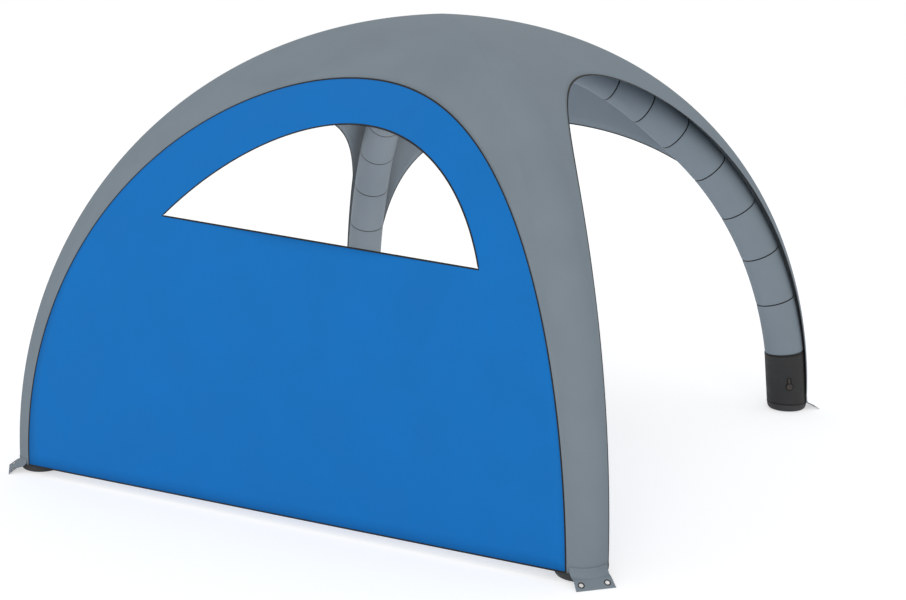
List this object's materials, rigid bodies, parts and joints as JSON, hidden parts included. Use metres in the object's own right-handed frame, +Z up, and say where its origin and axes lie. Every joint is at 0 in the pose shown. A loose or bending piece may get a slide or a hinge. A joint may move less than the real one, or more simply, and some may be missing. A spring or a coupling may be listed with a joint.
{
  "type": "inflatable dome shelter",
  "caption": "Inflatable four-leg dome shelter with an arched opening in each side, a zip-in side wall with a half-moon window, boots with valves, and staked flaps.",
  "frame": {"origin": "on the floor under the crown, midway between the four boots", "axes": "+Z up, -Y towards the side that the wall closes, +X to the right of someone who faces the wall from outside"},
  "size_m": [5.1842, 5.1842, 3.526],
  "materials": {
    "canopy_grey": "matt coated polyester",
    "tube_grey": "matt coated fabric, welded",
    "wall_blue": "matt coated polyester",
    "boot_dark": "heavy matt coated fabric",
    "boot_sole_dark": "matt",
    "valve_black": "moulded",
    "grommet_dark": "satin",
    "tape_black": "woven tape",
    "window_clear": "clear film"
  },
  "bodies": {
    "shelter": {"front_left_air_tube": "tube_grey", "front_left_boot_sleeve": "boot_dark", "front_left_boot_sole": "boot_sole_dark", "front_left_valve_body": "valve_black", "front_left_leg_strip": "canopy_grey", "front_left_foot_apron": "canopy_grey", "front_right_air_tube": "tube_grey", "front_right_boot_sleeve": "boot_dark", "front_right_boot_sole": "boot_sole_dark", "front_right_valve_body": "valve_black", "front_right_leg_strip": "canopy_grey", "front_right_foot_apron": "canopy_grey", "back_right_air_tube": "tube_grey", "back_right_boot_sleeve": "boot_dark", "back_right_boot_sole": "boot_sole_dark", "back_right_valve_body": "valve_black", "back_right_leg_strip": "canopy_grey", "back_right_foot_apron": "canopy_grey", "back_left_air_tube": "tube_grey", "back_left_boot_sleeve": "boot_dark", "back_left_boot_sole": "boot_sole_dark", "back_left_valve_body": "valve_black", "back_left_leg_strip": "canopy_grey", "back_left_foot_apron": "canopy_grey", "crown_hub": "tube_grey", "crown_patch": "canopy_grey", "front_panel": "canopy_grey", "right_panel": "canopy_grey", "back_panel": "canopy_grey", "left_panel": "canopy_grey", "side_wall": "wall_blue", "wall_tape": "tape_black", "window_pane": "window_clear", "window_tape": "tape_black"},
    "front_left_flap": {"front_left_anchor_flap": "canopy_grey", "front_left_flap_grommets": "grommet_dark"},
    "front_left_cap": {"front_left_valve_cap": "valve_black"},
    "front_left_plunger": {"front_left_valve_plunger": "valve_black"},
    "front_right_flap": {"front_right_anchor_flap": "canopy_grey", "front_right_flap_grommets": "grommet_dark"},
    "front_right_cap": {"front_right_valve_cap": "valve_black"},
    "front_right_plunger": {"front_right_valve_plunger": "valve_black"},
    "back_right_flap": {"back_right_anchor_flap": "canopy_grey", "back_right_flap_grommets": "grommet_dark"},
    "back_right_cap": {"back_right_valve_cap": "valve_black"},
    "back_right_plunger": {"back_right_valve_plunger": "valve_black"},
    "back_left_flap": {"back_left_anchor_flap": "canopy_grey", "back_left_flap_grommets": "grommet_dark"},
    "back_left_cap": {"back_left_valve_cap": "valve_black"},
    "back_left_plunger": {"back_left_valve_plunger": "valve_black"}
  },
  "joints": [
    {"name": "front_left_flap_fold", "type": "hinge", "parent": "shelter", "child": "front_left_flap", "pos_m": [-2.45001, -2.45001, 0.05], "axis": [-0.7071, 0.7071, 0], "range_deg": [0, 110]},
    {"name": "front_left_cap_swing", "type": "hinge", "parent": "shelter", "child": "front_left_cap", "pos_m": [-2.37345, -2.13227, 0.3253], "axis": [0.8861, 0.4538, -0.0939], "range_deg": [0, 150]},
    {"name": "front_left_plunger_press", "type": "slide", "parent": "shelter", "child": "front_left_plunger", "axis": [0.4582, -0.8884, 0.0301], "range_m": [0, 0.005], "stiffness_N_per_m": 400, "springref_m": -0.002},
    {"name": "front_right_flap_fold", "type": "hinge", "parent": "shelter", "child": "front_right_flap", "pos_m": [2.45001, -2.45001, 0.05], "axis": [-0.7071, -0.7071, 0], "range_deg": [0, 110]},
    {"name": "front_right_cap_swing", "type": "hinge", "parent": "shelter", "child": "front_right_cap", "pos_m": [2.13227, -2.37345, 0.3253], "axis": [-0.4538, 0.8861, -0.0939], "range_deg": [0, 150]},
    {"name": "front_right_plunger_press", "type": "slide", "parent": "shelter", "child": "front_right_plunger", "axis": [0.8884, 0.4582, 0.0301], "range_m": [0, 0.005], "stiffness_N_per_m": 400, "springref_m": -0.002},
    {"name": "back_right_flap_fold", "type": "hinge", "parent": "shelter", "child": "back_right_flap", "pos_m": [2.45001, 2.45001, 0.05], "axis": [0.7071, -0.7071, 0], "range_deg": [0, 110]},
    {"name": "back_right_cap_swing", "type": "hinge", "parent": "shelter", "child": "back_right_cap", "pos_m": [2.37345, 2.13227, 0.3253], "axis": [-0.8861, -0.4538, -0.0939], "range_deg": [0, 150]},
    {"name": "back_right_plunger_press", "type": "slide", "parent": "shelter", "child": "back_right_plunger", "axis": [-0.4582, 0.8884, 0.0301], "range_m": [0, 0.005], "stiffness_N_per_m": 400, "springref_m": -0.002},
    {"name": "back_left_flap_fold", "type": "hinge", "parent": "shelter", "child": "back_left_flap", "pos_m": [-2.45001, 2.45001, 0.05], "axis": [0.7071, 0.7071, 0], "range_deg": [0, 110]},
    {"name": "back_left_cap_swing", "type": "hinge", "parent": "shelter", "child": "back_left_cap", "pos_m": [-2.13227, 2.37345, 0.3253], "axis": [0.4538, -0.8861, -0.0939], "range_deg": [0, 150]},
    {"name": "back_left_plunger_press", "type": "slide", "parent": "shelter", "child": "back_left_plunger", "axis": [-0.8884, -0.4582, 0.0301], "range_m": [0, 0.005], "stiffness_N_per_m": 400, "springref_m": -0.002}
  ]
}
